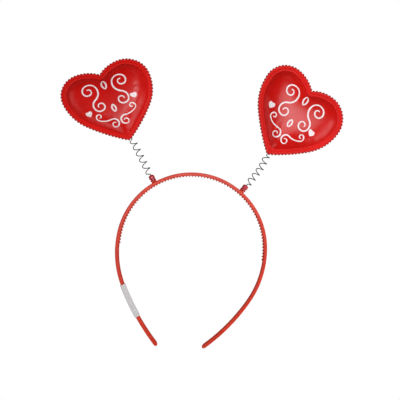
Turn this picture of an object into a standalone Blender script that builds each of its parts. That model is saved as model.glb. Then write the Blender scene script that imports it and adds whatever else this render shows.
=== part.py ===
"""Head bopper: a toothed plastic hair band that carries two puffed hearts on coil springs.

Metres, +Z up. The bopper lies flat, face up: the lower edge of its band and the backs of its hearts are
on z = 0. +Y runs from the tips of the band to its crown and on to the hearts, and X runs across.
"""
from collections import namedtuple
from math import asin, ceil, cos, pi, radians, sin, sqrt

import bmesh
import bpy
from mathutils import Matrix, Vector

MM = 0.001
GAP = 0.3 * MM  # between pieces that meet
WELD = 0.01 * MM
SIDES = ("left", "right")
SHARP_ANGLE = 40.0  # degrees, past which an edge is shaded sharp

# Band: tangent arcs run from the top of the crown down each side, with their radii as shares of the crown's
Arc = namedtuple("Arc", "radius sweep")
CROWN_RADIUS = 66.1 * MM  # to the outer face
BAND_ARCS = {
    "left": (Arc(1.00, 81.7), Arc(1.24, 36.3), Arc(3.15, 16.8)),
    "right": (Arc(1.00, 81.7), Arc(1.24, 36.3), Arc(2.53, 20.1)),
}
BAND_THICKNESS = 2.6 * MM
BAND_WIDTH = 8.0 * MM  # across the crown, along Z
LEG_WIDTH = 6.6 * MM  # the same, along the legs
BAND_EDGE = 0.6 * MM  # flat on the two outer edges
TIP_ROUNDING = 3.0 * MM
TIP_TURNS = (30.0, 55.0, 75.0)  # degrees round each tip where it has a section
BAND_STEP = 5.0 * MM  # between sections where there are no teeth

# Teeth: ribs across the inner face, placed evenly from the top of the crown
TOOTH_PITCH = 2.85 * MM  # along the outer face
TOOTH_HEIGHT = 1.1 * MM
TOOTH_SPAN = 109.0 * MM  # along the outer face, on each side

# Spring seats: a boss and a post moulded on the crown, with a turned plug pushed over them
BOSS_RADIUS = 2.3 * MM
BOSS_HEIGHT = 1.2 * MM
POST_RADIUS = 1.1 * MM
POST_HEIGHT = 2.0 * MM
PLUG_RADIUS = 2.6 * MM  # of its flange and its barrel
PLUG_HEIGHT = 5.6 * MM
FLANGE_HEIGHT = 1.1 * MM
WAIST_HEIGHT = 0.8 * MM
WAIST_DEPTH = 0.5 * MM
DOME_HEIGHT = 1.8 * MM
DOME_TURNS = (0.0, 35.0, 65.0, 90.0)  # degrees from the plug's axis
ROUND_SIDES = 16

# Springs: the wire's straight ends stand in the plug and in the tip of the heart
WIRE_RADIUS = 0.38 * MM
COIL_RADIUS = 2.75 * MM  # to the middle of the wire
COIL_TURNS = 6.0
COIL_STEPS = 12  # points in each turn
COIL_SLANT = 0.16  # each turn's top leans towards the heart, as a share of its height
SPREAD_TURNS = 0.5  # in which the wire opens from the spring's middle to the full coil
SPRING_REACH = 35.0 * MM  # straight from the plug to the heart, before it is stretched
TAIL_DEPTH = 2.4 * MM  # of the hole that each end stands in

# A heart sways across, and nods up and down, about points at these shares of the way along its spring
SWAY_SHARE = 0.25
NOD_SHARE = 0.75

# How each heart is carried: the angle of its seat from the top of the crown; its spring's stretch and where
# the wire winds from round the coil; the leans of the spring, of its upper end and of the heart from +Y
# towards +X; how far aside of the heart's tip the wire stands; the heart's height as a share of the right
# one's. All angles are in degrees.
Carry = namedtuple("Carry", "seat_angle stretch wound_from spring_lean end_lean heart_lean aside tall")
CARRIES = {
    "left": Carry(36.4, 1.046, 0.0, -34.3, -36.0, -27.2, 2.0 * MM, 0.93),
    "right": Carry(34.6, 0.953, 180.0, 26.2, 8.0, 32.6, 0.0, 1.00),
}

# Hearts: a flat welded rim with a scalloped edge round a puffed middle
HEART_WIDTH = 80.8 * MM
HEART_SKEW = -0.073  # sideways for each unit of height over the tip
NOTCH_ANGLE = 39.2  # degrees that each side rises at from the notch
TOP_SHARE = 0.385  # radii of the arcs after the notch, as shares of the heart's width
SIDE_SHARE = 0.534
LOWER_SHARE = 2.0
SIDE_SWEEP = 42.3  # degrees
TIP_RADIUS = 3.2 * MM
RIM_WIDTH = 4.2 * MM
RIM_THICKNESS = 2.2 * MM
SCALLOP_PITCH = 3.0 * MM
SCALLOP_DEPTH = 0.7 * MM
SCALLOP_STEPS = 3  # points in each scallop
FINE_STEPS = (1, 12, 18, 12, 12)  # points on each arc of half the rim's outline
COARSE_STEPS = (3, 6, 9, 6, 6)  # and of half a section of the padding
TIP_STEPS = 4
HEART_FRONT = 8.0 * MM  # height of the puffed face over the middle of the rim
HEART_BACK = 4.0 * MM  # and depth of the back under it

# Section of the puffed middle: set in from the rim towards the lobe's centre, and raised
Rise = namedtuple("Rise", "inset height")
PUFF_RISES = (Rise(0.00, 0.00), Rise(0.04, 0.42), Rise(0.13, 0.68), Rise(0.29, 0.87), Rise(0.52, 0.97),
              Rise(0.82, 1.00))

# Label: a thin plain sleeve round the left leg
LABEL_START = 145.0 * MM  # along the outer face from the top of the crown
LABEL_LENGTH = 31.0 * MM
LABEL_THICKNESS = 0.35 * MM
LABEL_SECTIONS = 7

Finish = namedtuple("Finish", "colour roughness metallic")
FINISHES = {
    "band_plastic": Finish((0.68, 0.05, 0.02), 0.35, 0.0),
    "plug_plastic": Finish((0.42, 0.01, 0.03), 0.25, 0.0),
    "spring_steel": Finish((0.42, 0.44, 0.43), 0.35, 1.0),
    "heart_vinyl": Finish((0.60, 0.01, 0.01), 0.20, 0.0),
    "label_paper": Finish((0.60, 0.59, 0.60), 0.70, 0.0),
}


def clear_scene():
    for thing in list(bpy.data.objects):
        bpy.data.objects.remove(thing)


def collection(name):
    made = bpy.data.collections.new(name)
    bpy.context.scene.collection.children.link(made)
    return made


def finish(name):
    """The material with one of the finishes above."""
    found = bpy.data.materials.get(name)
    if found:
        return found
    look = FINISHES[name]
    made = bpy.data.materials.new(name)
    made.use_nodes = True
    shader = made.node_tree.nodes["Principled BSDF"]
    shader.inputs["Base Color"].default_value = (*look.colour, 1.0)
    shader.inputs["Roughness"].default_value = look.roughness
    shader.inputs["Metallic"].default_value = look.metallic
    return made


def add(name, data, home, material=None):
    """A new object in a collection."""
    made = bpy.data.objects.new(name, data)
    home.objects.link(made)
    if material:
        data.materials.append(finish(material))
    return made


def mesh_from(shape, name):
    """The bmesh as a mesh with smooth faces and sharp edges."""
    bmesh.ops.recalc_face_normals(shape, faces=shape.faces)
    mesh = bpy.data.meshes.new(name)
    shape.to_mesh(mesh)
    shape.free()
    mesh.shade_smooth()
    mesh.set_sharp_from_angle(angle=radians(SHARP_ANGLE))
    return mesh


def loft(name, rings, capped=True):
    """A mesh through closed rings that have as many points each."""
    shape = bmesh.new()
    rows = [[shape.verts.new(point) for point in ring] for ring in rings]
    for low, high in zip(rows, rows[1:]):
        for i in range(len(low)):
            shape.faces.new((low[i - 1], low[i], high[i], high[i - 1]))
    if capped:
        shape.faces.new(rows[0])
        shape.faces.new(rows[-1])
    return mesh_from(shape, name)


def rod(name, radius, foot, direction, length, home):
    """A round bar from a foot along a direction, for a Boolean modifier."""
    shape = bmesh.new()
    turn = direction.to_track_quat("Z", "Y").to_matrix().to_4x4()
    place = Matrix.Translation(foot + direction * length / 2) @ turn
    bmesh.ops.create_cone(shape, cap_ends=True, segments=ROUND_SIDES, radius1=radius, radius2=radius,
                          depth=length, matrix=place)
    return tool(add(name, mesh_from(shape, name), home))


def tool(thing):
    """Shows an object as a Boolean's operand."""
    thing.hide_render = True
    thing.display_type = "WIRE"
    return thing


def boolean(target, operand, operation):
    step = target.modifiers.new(operand.name, "BOOLEAN")
    step.operation = operation
    step.object = operand


# Arcs

Turn = namedtuple("Turn", "centre radius heading sweep")


def turns(start, heading, arcs):
    """Tangent arcs that turn right, for a positive sweep, from a start and a heading in radians."""
    made = []
    point = Vector(start)
    for radius, sweep in arcs:
        centre = point + radius * to_right(heading)
        made.append(Turn(centre, radius, heading, sweep))
        heading -= sweep
        point = centre - radius * to_right(heading)
    return made


def to_right(heading):
    return Vector((sin(heading), -cos(heading)))


def on_turn(turn, heading, inset=0.0):
    """The point of an arc where it has a heading, set in to the right of it."""
    return turn.centre - (turn.radius - inset) * to_right(heading)


# Band

def band_turns(side):
    arcs = [(arc.radius * CROWN_RADIUS, radians(arc.sweep)) for arc in BAND_ARCS[side]]
    return turns((0.0, CROWN_RADIUS), 0.0, arcs)


def band_length(side):
    return sum(turn.radius * turn.sweep for turn in band_turns(side))


def band_place(side, station, inset=0.0):
    """A point at a length along the outer face from the top of the crown, and the way out of that face."""
    way = 1.0 if side == "right" else -1.0
    rest = station
    parts = band_turns(side)
    for turn in parts:
        length = turn.radius * turn.sweep
        if rest <= length or turn is parts[-1]:
            heading = turn.heading - rest / turn.radius
            point = on_turn(turn, heading, inset)
            out = -to_right(heading)
            return Vector((way * point.x, point.y)), Vector((way * out.x, out.y))
        rest -= length


def band_half_width(side, station):
    """Half of the band's width: full on the crown, narrowing along the side to the leg's."""
    crown, flank, _ = band_turns(side)
    start = crown.radius * crown.sweep
    share = (station - start) / (flank.radius * flank.sweep)
    share = min(max(share, 0.0), 1.0)
    return (BAND_WIDTH + (LEG_WIDTH - BAND_WIDTH) * share) / 2


def band_section(side, station, tooth=0.0, size=1.0):
    """The band's section at a station: flat outer edges, and a tooth's height on the inner face."""
    half = band_half_width(side, station)
    inner = BAND_THICKNESS + tooth
    outline = ((0.0, -(half - BAND_EDGE)), (0.0, half - BAND_EDGE), (BAND_EDGE, half),
               (inner, half), (inner, -half), (BAND_EDGE, -half))
    ring = []
    for inset, height in outline:
        inset = BAND_THICKNESS / 2 + (inset - BAND_THICKNESS / 2) * size
        point, _ = band_place(side, station, inset)
        ring.append((point.x, point.y, BAND_WIDTH / 2 + height * size))
    return ring


def band_sections(side):
    """Sections of one half of the band, from the top of the crown to its tip."""
    teeth = int(TOOTH_SPAN / TOOTH_PITCH)
    rings = []
    for tooth in range(teeth):
        rings.append(band_section(side, tooth * TOOTH_PITCH))
        rings.append(band_section(side, (tooth + 0.5) * TOOTH_PITCH, TOOTH_HEIGHT))
    start = teeth * TOOTH_PITCH
    end = band_length(side) - TIP_ROUNDING
    count = ceil((end - start) / BAND_STEP)
    for i in range(count + 1):
        rings.append(band_section(side, start + (end - start) * i / count))
    for turned in TIP_TURNS:
        station = end + TIP_ROUNDING * sin(radians(turned))
        rings.append(band_section(side, station, size=cos(radians(turned))))
    return rings


def make_headband(parts, tools):
    """The band with its teeth, and on the crown a boss and a post for each plug, all one moulding."""
    left, right = (band_sections(side) for side in SIDES)
    headband = add("headband", loft("headband", left[:0:-1] + right), parts, "band_plastic")
    for side in SIDES:
        foot, out = seat(side)
        sunk = BAND_THICKNESS / 2
        boss = rod(f"{side}_boss", BOSS_RADIUS, foot - out * sunk, out, sunk + BOSS_HEIGHT, tools)
        top = foot + out * BOSS_HEIGHT
        post = rod(f"{side}_post", POST_RADIUS, top - out * sunk, out, sunk + POST_HEIGHT, tools)
        boolean(headband, boss, "UNION")
        boolean(headband, post, "UNION")
    return headband


# Spring plugs

def seat(side):
    """Where a boss stands on the crown's outer face, and its axis."""
    point, out = band_place(side, CROWN_RADIUS * radians(CARRIES[side].seat_angle))
    return Vector((point.x, point.y, BAND_WIDTH / 2)), Vector((out.x, out.y, 0.0))


def plug_foot(side):
    foot, out = seat(side)
    return foot + out * (BOSS_HEIGHT + GAP)


def plug_top(side):
    return plug_foot(side) + seat(side)[1] * PLUG_HEIGHT


def plug_profile():
    """Radius and height down the plug: from the floor of the wire's hole to the roof over the post."""
    hole = WIRE_RADIUS + GAP
    bore = POST_RADIUS + GAP
    waist = PLUG_RADIUS - WAIST_DEPTH
    barrel = FLANGE_HEIGHT + WAIST_HEIGHT
    shoulder = PLUG_HEIGHT - DOME_HEIGHT
    dome = [(hole + (PLUG_RADIUS - hole) * sin(radians(turned)), shoulder + DOME_HEIGHT * cos(radians(turned)))
            for turned in DOME_TURNS]
    return ((0.0, PLUG_HEIGHT - TAIL_DEPTH), (hole, PLUG_HEIGHT - TAIL_DEPTH), *dome, (PLUG_RADIUS, barrel),
            (waist, barrel), (waist, FLANGE_HEIGHT), (PLUG_RADIUS, FLANGE_HEIGHT), (PLUG_RADIUS, 0.0),
            (bore, 0.0), (bore, POST_HEIGHT), (0.0, POST_HEIGHT))


def make_plug(side, parts):
    """A turned crimson plug, with a waist above its flange and a domed top."""
    name = f"{side}_spring_plug"
    shape = bmesh.new()
    corners = [shape.verts.new((radius, 0.0, height)) for radius, height in plug_profile()]
    for one, other in zip(corners, corners[1:]):
        shape.edges.new((one, other))
    mesh = bpy.data.meshes.new(name)
    shape.to_mesh(mesh)
    shape.free()
    plug = add(name, mesh, parts, "plug_plastic")
    screw = plug.modifiers.new("turned", "SCREW")
    screw.steps = screw.render_steps = ROUND_SIDES
    screw.use_merge_vertices = True
    screw.merge_threshold = WELD
    plug.location = plug_foot(side)
    plug.rotation_euler = seat(side)[1].to_track_quat("Z", "Y").to_euler()
    return plug


# Springs

def lean_way(lean):
    return Vector((sin(radians(lean)), cos(radians(lean)), 0.0))


def spring_reach(side):
    return SPRING_REACH * CARRIES[side].stretch


def spring_head(side):
    """Where a spring meets its heart, level with the middle of the rim."""
    start = plug_top(side)
    way = lean_way(CARRIES[side].spring_lean)
    rise = HEART_BACK - start.z
    level = sqrt(spring_reach(side) ** 2 - rise ** 2)
    return Vector((start.x + way.x * level, start.y + way.y * level, HEART_BACK))


def spring_axis(side, share):
    """A point of the spring's middle line and its direction, at a share of the way from plug to heart."""
    start, end = plug_top(side), spring_head(side)
    leave = seat(side)[1] * spring_reach(side)
    arrive = lean_way(CARRIES[side].end_lean) * spring_reach(side)
    t = share
    point = (start * (2 * t**3 - 3 * t**2 + 1) + leave * (t**3 - 2 * t**2 + t)
             + end * (3 * t**2 - 2 * t**3) + arrive * (t**3 - t**2))
    slope = (start * (6 * t**2 - 6 * t) + leave * (3 * t**2 - 4 * t + 1)
             + end * (6 * t - 6 * t**2) + arrive * (3 * t**2 - 2 * t))
    return point, slope.normalized()


def coil_points(side):
    """The wire's middle line: a straight end in the plug, the coil, and a straight end in the heart."""
    count = round(COIL_TURNS * COIL_STEPS)
    inside = TAIL_DEPTH - GAP
    points = []
    for i in range(count + 1):
        share = i / count
        middle, way = spring_axis(side, share)
        across = way.cross(Vector((0.0, 0.0, 1.0))).normalized()
        up = across.cross(way)
        spread = min(share, 1.0 - share) * COIL_TURNS / SPREAD_TURNS
        spread = min(spread, 1.0)
        radius = COIL_RADIUS * spread * spread * (3 - 2 * spread)
        turn = radians(CARRIES[side].wound_from) + 2 * pi * COIL_TURNS * share
        height = -radius * sin(turn)
        points.append(middle + across * radius * cos(turn) + up * height + way * height * COIL_SLANT)
    foot = points[0] - seat(side)[1] * inside
    head = points[-1] + lean_way(CARRIES[side].end_lean) * inside
    return [foot, *points, head]


def make_spring(side, parts):
    """An open coil of round wire."""
    name = f"{side}_spring"
    curve = bpy.data.curves.new(name, "CURVE")
    curve.dimensions = "3D"
    curve.bevel_depth = WIRE_RADIUS
    curve.bevel_resolution = 2
    curve.use_fill_caps = True
    wire = curve.splines.new("POLY")
    points = coil_points(side)
    wire.points.add(len(points) - 1)
    for knot, point in zip(wire.points, points):
        knot.co = (*point, 1.0)
    return add(name, curve, parts, "spring_steel")


# Hearts, modelled with the tip at the origin and the notch on +Y

def lobe_radius():
    return HEART_WIDTH / 2 - TOP_SHARE * HEART_WIDTH * sin(radians(NOTCH_ANGLE))


def heart_turns():
    """The arcs of the heart's right half, from the notch, where it only turns, to the tip."""
    notch = radians(NOTCH_ANGLE)
    arcs = ((0.0, -notch), (TOP_SHARE * HEART_WIDTH, notch), (lobe_radius(), pi / 2),
            (SIDE_SHARE * HEART_WIDTH, radians(SIDE_SWEEP)), (LOWER_SHARE * HEART_WIDTH, 0.0))
    return turns((0.0, 0.0), 0.0, arcs)


def middle_heading(inset):
    """The heading at which the lowest arc, set in, meets the heart's middle line."""
    lower = heart_turns()[-1]
    return -pi - asin(lower.centre.x / (lower.radius - inset))


def half_heart(inset, steps):
    """Points of the right half from notch to tip, set in from the edge, with so many for each arc."""
    parts = heart_turns()
    end = middle_heading(max(inset, TIP_RADIUS))
    points = []
    for turn, count in zip(parts, steps):
        sweep = turn.heading - end if turn is parts[-1] else turn.sweep
        for i in range(count):
            points.append(on_turn(turn, turn.heading - sweep * i / count, inset))
    if inset < TIP_RADIUS:
        tip = Turn(on_turn(parts[-1], end, TIP_RADIUS), TIP_RADIUS, end, end + pi)
        for i in range(TIP_STEPS):
            points.append(on_turn(tip, end - tip.sweep * i / TIP_STEPS, inset))
        points.append(on_turn(tip, -pi, inset))
    else:
        points.append(on_turn(parts[-1], end, inset))
    return points


def whole_heart(side, inset, steps):
    """A closed heart outline with its tip at the origin, set in from the edge."""
    half = half_heart(inset, steps)
    foot = half_heart(0.0, steps)[-1].y
    mirrored = [Vector((-point.x, point.y)) for point in half[-2:0:-1]]
    loop = []
    for point in half + mirrored:
        height = point.y - foot
        loop.append(Vector((point.x + HEART_SKEW * height, height * CARRIES[side].tall)))
    return loop


def evenly(loop, count):
    """So many points at even lengths round a closed outline."""
    lengths = [0.0]
    for one, other in zip(loop, loop[1:] + loop[:1]):
        lengths.append(lengths[-1] + (other - one).length)
    points = []
    edge = 0
    for i in range(count):
        target = lengths[-1] * i / count
        while lengths[edge + 1] <= target:
            edge += 1
        share = (target - lengths[edge]) / (lengths[edge + 1] - lengths[edge])
        points.append(loop[edge].lerp(loop[(edge + 1) % len(loop)], share))
    return points


def heart_tip(side):
    """Where a heart's tip is: beside the wire, on the rounding of the rim."""
    aside = CARRIES[side].aside
    up = lean_way(CARRIES[side].heart_lean)
    right = Vector((up.y, -up.x, 0.0))
    rise = TIP_RADIUS - sqrt(TIP_RADIUS ** 2 - aside ** 2)
    return spring_head(side) - right * aside - up * rise


def scalloped_heart(side):
    """The rim's outline, with scallops that fit evenly round it."""
    loop = whole_heart(side, 0.0, FINE_STEPS)
    around = sum((other - one).length for one, other in zip(loop, loop[1:] + loop[:1]))
    points = evenly(loop, round(around / SCALLOP_PITCH) * SCALLOP_STEPS)
    outline = []
    for i, point in enumerate(points):
        along = points[(i + 1) % len(points)] - points[i - 1]
        out = Vector((-along.y, along.x)).normalized()
        bump = sin(pi * (i % SCALLOP_STEPS) / SCALLOP_STEPS) - 0.5
        outline.append(point + out * bump * SCALLOP_DEPTH)
    return outline


def flat_plate(name, outline, thickness, home, material):
    """A flat outline as a solid plate, half its thickness on either side of its plane."""
    curve = bpy.data.curves.new(name, "CURVE")
    curve.dimensions = "2D"
    curve.fill_mode = "BOTH"
    curve.extrude = thickness / 2
    edge = curve.splines.new("POLY")
    edge.points.add(len(outline) - 1)
    for knot, point in zip(edge.points, outline):
        knot.co = (point.x, point.y, 0.0, 1.0)
    edge.use_cyclic_u = True
    flat = add(f"{name}_outline", curve, home)
    bpy.context.view_layer.update()
    mesh = bpy.data.meshes.new_from_object(flat.evaluated_get(bpy.context.evaluated_depsgraph_get()))
    bpy.data.objects.remove(flat)
    shape = bmesh.new()
    shape.from_mesh(mesh)
    bmesh.ops.remove_doubles(shape, verts=shape.verts, dist=WELD)
    return add(name, mesh_from(shape, name), home, material)


def puff_rings(side):
    """Sections of the padded middle, from the flat of its back to the flat of its face."""
    depth = lobe_radius() - RIM_WIDTH
    levels = [(rise.inset, -rise.height * HEART_BACK) for rise in reversed(PUFF_RISES)]
    levels += [(rise.inset, rise.height * HEART_FRONT) for rise in PUFF_RISES[1:]]
    rings = []
    for inset, height in levels:
        loop = whole_heart(side, RIM_WIDTH + inset * depth, COARSE_STEPS)
        rings.append([(point.x, point.y, height) for point in loop])
    return rings


def make_heart(side, parts, tools):
    """A heart: the scalloped rim, the padding on both of its faces, and a hole for the wire in its tip."""
    name = f"{side}_heart"
    heart = flat_plate(name, scalloped_heart(side), RIM_THICKNESS, parts, "heart_vinyl")
    puff = tool(add(f"{side}_puff", loft(f"{side}_puff", puff_rings(side)), tools))
    way = lean_way(CARRIES[side].end_lean)
    for piece in (heart, puff):
        piece.location = heart_tip(side)
        piece.rotation_euler.z = -radians(CARRIES[side].heart_lean)
    lead = 2 * GAP + SCALLOP_DEPTH
    hole = rod(f"{side}_hole", WIRE_RADIUS + GAP, spring_head(side) - way * lead, way,
               lead + TAIL_DEPTH, tools)
    boolean(heart, puff, "UNION")
    boolean(heart, hole, "DIFFERENCE")
    return heart


# Label

def make_label(parts):
    """A plain sleeve that is open at both ends, clear of the leg all round."""
    rings = []
    for i in range(LABEL_SECTIONS):
        station = LABEL_START + LABEL_LENGTH * i / (LABEL_SECTIONS - 1)
        half = band_half_width("left", station) + GAP
        ring = []
        for inset, height in ((-GAP, -half), (-GAP, half), (BAND_THICKNESS + GAP, half),
                              (BAND_THICKNESS + GAP, -half)):
            point, _ = band_place("left", station, inset)
            ring.append((point.x, point.y, BAND_WIDTH / 2 + height))
        rings.append(ring)
    sleeve = add("label_sleeve", loft("label_sleeve", rings, capped=False), parts, "label_paper")
    wall = sleeve.modifiers.new("wall", "SOLIDIFY")
    wall.thickness = LABEL_THICKNESS
    wall.offset = 1.0
    wall.use_even_offset = True
    return sleeve


# Assembly

def pivot(name, place, home):
    made = bpy.data.objects.new(name, None)
    made.empty_display_size = COIL_RADIUS
    made.location = place
    home.objects.link(made)
    return made


def hang(children, parent):
    """Parents objects where they are."""
    bpy.context.view_layer.update()
    for child in children:
        child.parent = parent
        child.matrix_parent_inverse = parent.matrix_world.inverted()


def stand(whole, parts):
    """Moves the whole so that the middle of its lowest level is at the origin."""
    bpy.context.view_layer.update()
    graph = bpy.context.evaluated_depsgraph_get()
    corners = []
    for thing in parts.objects:
        if thing.type == "EMPTY":
            continue
        seen = thing.evaluated_get(graph)
        corners += [seen.matrix_world @ corner.co for corner in seen.to_mesh().vertices]
        seen.to_mesh_clear()
    low = [min(corner[axis] for corner in corners) for axis in range(3)]
    high = [max(corner[axis] for corner in corners) for axis in range(3)]
    whole.location = (-(low[0] + high[0]) / 2, -(low[1] + high[1]) / 2, -low[2])
    bpy.context.view_layer.update()


def build():
    clear_scene()
    parts = collection("head_bopper")
    tools = collection("cutters")
    whole = pivot("head_bopper_origin", (0.0, 0.0, 0.0), parts)
    fixed = [make_headband(parts, tools), make_label(parts)]
    for side in SIDES:
        fixed.append(make_plug(side, parts))
        spring = make_spring(side, parts)
        heart = make_heart(side, parts, tools)
        sway = pivot(f"{side}_sway_axis", spring_axis(side, SWAY_SHARE)[0], parts)
        nod = pivot(f"{side}_nod_axis", spring_axis(side, NOD_SHARE)[0], parts)
        hang([heart], nod)
        hang([nod, spring], sway)
        fixed.append(sway)
    hang([*fixed, *tools.objects], whole)
    stand(whole, parts)


build()
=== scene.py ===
# %% [markdown]
# # Head bopper
# A toothed plastic hair band lies flat, face up, on clear glass over a white floor. It carries two puffed
# vinyl hearts on coil springs, so that they bob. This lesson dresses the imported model: it makes every
# surface as fine as the real one and leaves each piece where the model has it, because the joints and the
# collision shapes stay as they are.

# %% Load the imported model
from collections import namedtuple
from math import asin, cos, pi, radians, sin, sqrt

import bmesh
import bpy
import numpy as np
from mathutils import Matrix, Vector
from mathutils.bvhtree import BVHTree
from mathutils.geometry import delaunay_2d_cdt
from mathutils.kdtree import KDTree


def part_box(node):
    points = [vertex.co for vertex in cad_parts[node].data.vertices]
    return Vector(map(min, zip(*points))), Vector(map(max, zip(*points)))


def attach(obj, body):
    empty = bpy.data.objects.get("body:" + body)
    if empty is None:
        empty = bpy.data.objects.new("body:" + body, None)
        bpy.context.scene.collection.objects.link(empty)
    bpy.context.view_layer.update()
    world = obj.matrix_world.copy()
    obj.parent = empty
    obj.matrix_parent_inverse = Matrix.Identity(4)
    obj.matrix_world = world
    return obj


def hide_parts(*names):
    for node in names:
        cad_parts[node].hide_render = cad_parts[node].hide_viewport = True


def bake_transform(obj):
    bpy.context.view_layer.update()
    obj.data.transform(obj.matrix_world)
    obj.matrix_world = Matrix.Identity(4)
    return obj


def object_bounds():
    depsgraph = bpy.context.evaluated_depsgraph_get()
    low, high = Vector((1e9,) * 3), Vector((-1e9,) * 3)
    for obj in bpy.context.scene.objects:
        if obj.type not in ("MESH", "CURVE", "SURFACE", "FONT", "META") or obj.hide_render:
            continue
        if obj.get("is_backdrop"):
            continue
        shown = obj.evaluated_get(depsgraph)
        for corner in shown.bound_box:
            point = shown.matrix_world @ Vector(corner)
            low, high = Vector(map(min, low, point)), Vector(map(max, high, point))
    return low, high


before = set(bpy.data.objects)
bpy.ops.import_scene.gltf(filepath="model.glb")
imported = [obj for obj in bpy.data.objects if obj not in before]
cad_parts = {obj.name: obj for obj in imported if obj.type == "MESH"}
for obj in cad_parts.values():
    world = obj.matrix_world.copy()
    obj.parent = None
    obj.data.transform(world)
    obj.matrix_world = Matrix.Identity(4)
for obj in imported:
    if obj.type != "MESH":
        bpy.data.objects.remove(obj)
model_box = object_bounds()
print("nodes:", sorted(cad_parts))

# %% [markdown]
# ## Shared sizes
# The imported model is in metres, and so is this script. These are the band's and the springs' driving sizes,
# once each. The rest is worked out from them, and the middle of the crown is found from the packed
# headband's own box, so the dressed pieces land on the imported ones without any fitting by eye.

# %% Sizes that several pieces share
MM = 0.001
GAP = 0.3 * MM  # between pieces that meet
SIDES = ("left", "right")

Arc = namedtuple("Arc", "radius sweep")
CROWN_RADIUS = 66.1 * MM  # to the outer face
BAND_ARCS = {  # from the top of the crown: radii as shares of the crown's, sweeps in degrees
    "left": (Arc(1.00, 81.7), Arc(1.24, 36.3), Arc(3.15, 16.8)),
    "right": (Arc(1.00, 81.7), Arc(1.24, 36.3), Arc(2.53, 20.1)),
}
BAND_THICKNESS = 2.6 * MM
BAND_WIDTH = 8.0 * MM
LEG_WIDTH = 6.6 * MM

# How each heart is carried: all angles are in degrees, and the leans are from +Y towards +X
Carry = namedtuple("Carry", "seat_angle stretch wound_from spring_lean end_lean heart_lean aside tall")
CARRIES = {
    "left": Carry(36.4, 1.046, 0.0, -34.3, -36.0, -27.2, 2.0 * MM, 0.93),
    "right": Carry(34.6, 0.953, 180.0, 26.2, 8.0, 32.6, 0.0, 1.00),
}
print("sides:", ", ".join(SIDES))

# %% [markdown]
# ## Curves made of tangent arcs
# Most outlines on moulded goods are arcs that run smoothly into each other, because that is how the tool
# for the mould was drawn. One helper walks along such arcs. The band, the hearts and the printed ornament
# all use it.

# %% Tangent arcs
Turn = namedtuple("Turn", "centre radius heading sweep")


def to_right(heading):
    return Vector((sin(heading), -cos(heading)))


def turns(start, heading, arcs):
    """Arcs that run on from each other. A positive sweep turns right, a negative one left."""
    made = []
    point = Vector(start)
    for radius, sweep in arcs:
        way = 1.0 if sweep >= 0 else -1.0
        centre = point + way * radius * to_right(heading)
        made.append(Turn(centre, way * radius, heading, sweep))
        heading -= sweep
        point = centre - way * radius * to_right(heading)
    return made


def on_turn(turn, heading, inset=0.0):
    """The point of an arc where it has a heading, set in to the right of it."""
    return turn.centre - (turn.radius - inset) * to_right(heading)


def length_round(loop):
    """The length of a closed outline."""
    return sum((other - one).length for one, other in zip(loop, loop[1:] + loop[:1]))


def evenly(loop, count):
    """So many points at even lengths round a closed outline."""
    lengths = [0.0]
    for one, other in zip(loop, loop[1:] + loop[:1]):
        lengths.append(lengths[-1] + (other - one).length)
    points = []
    edge = 0
    for i in range(count):
        target = lengths[-1] * i / count
        while lengths[edge + 1] <= target:
            edge += 1
        share = (target - lengths[edge]) / (lengths[edge + 1] - lengths[edge])
        points.append(loop[edge].lerp(loop[(edge + 1) % len(loop)], share))
    return points


# %% The band's middle plane, and places along its outer face
def band_turns(side):
    arcs = [(arc.radius * CROWN_RADIUS, radians(arc.sweep)) for arc in BAND_ARCS[side]]
    return turns((0.0, CROWN_RADIUS), 0.0, arcs)


def band_length(side):
    return sum(turn.radius * turn.sweep for turn in band_turns(side))


def band_place(side, station, inset=0.0):
    """A point at a length from the crown's top, about the crown's centre, and the way out of the face."""
    way = 1.0 if side == "right" else -1.0
    rest = station
    parts = band_turns(side)
    for turn in parts:
        length = turn.radius * turn.sweep
        if rest <= length or turn is parts[-1]:
            heading = turn.heading - rest / turn.radius
            point = on_turn(turn, heading, inset)
            out = -to_right(heading)
            return Vector((way * point.x, point.y)), Vector((way * out.x, out.y))
        rest -= length


low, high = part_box("headband")
stations = [band_length("left") * i / 400 for i in range(401)]
left_reach = max(-band_place("left", station)[0].x for station in stations)
CROWN_CENTRE = Vector((low.x + left_reach, high.y - CROWN_RADIUS, 0.0))
MIDDLE = BAND_WIDTH / 2  # height of the band's middle plane over the glass
print("crown centre:", [round(value / MM, 2) for value in CROWN_CENTRE], "mm")

# %% [markdown]
# ## Helpers for meshes
# Two ways of making a mesh serve for all the plain pieces. A loft joins rings that have as many points
# each, for what is swept along a path. A lathe turns a profile round an axis, for bosses and plugs. Both
# write world coordinates straight into the mesh, so every object stays at the origin, unturned and
# unscaled.

# %% Loft, lathe and a new object
def new_object(name, mesh, material):
    made = bpy.data.objects.new(name, mesh)
    bpy.context.scene.collection.objects.link(made)
    mesh.materials.clear()
    mesh.materials.append(material)
    print(f"{name}: {len(mesh.vertices)} points, {len(mesh.polygons)} faces")
    return made


def mesh_of(shape, name, sharp=40.0):
    """The bmesh as a mesh with faces that point outwards, smooth up to an angle."""
    bmesh.ops.remove_doubles(shape, verts=shape.verts, dist=0.002 * MM)
    bmesh.ops.recalc_face_normals(shape, faces=shape.faces)
    mesh = bpy.data.meshes.new(name)
    shape.to_mesh(mesh)
    shape.free()
    mesh.shade_smooth()
    mesh.set_sharp_from_angle(angle=radians(sharp))
    return mesh


def loft(shape, rings, capped=True, closed=False):
    """Adds a skin through closed rings that have as many points each."""
    rows = [[shape.verts.new(point) for point in ring] for ring in rings]
    pairs = list(zip(rows, rows[1:]))
    if closed:
        pairs.append((rows[-1], rows[0]))
    for near, far in pairs:
        for i in range(len(near)):
            shape.faces.new((near[i - 1], near[i], far[i], far[i - 1]))
    if capped:
        shape.faces.new(rows[0])
        shape.faces.new(rows[-1])


LATHE_SIDES = 32


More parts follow.
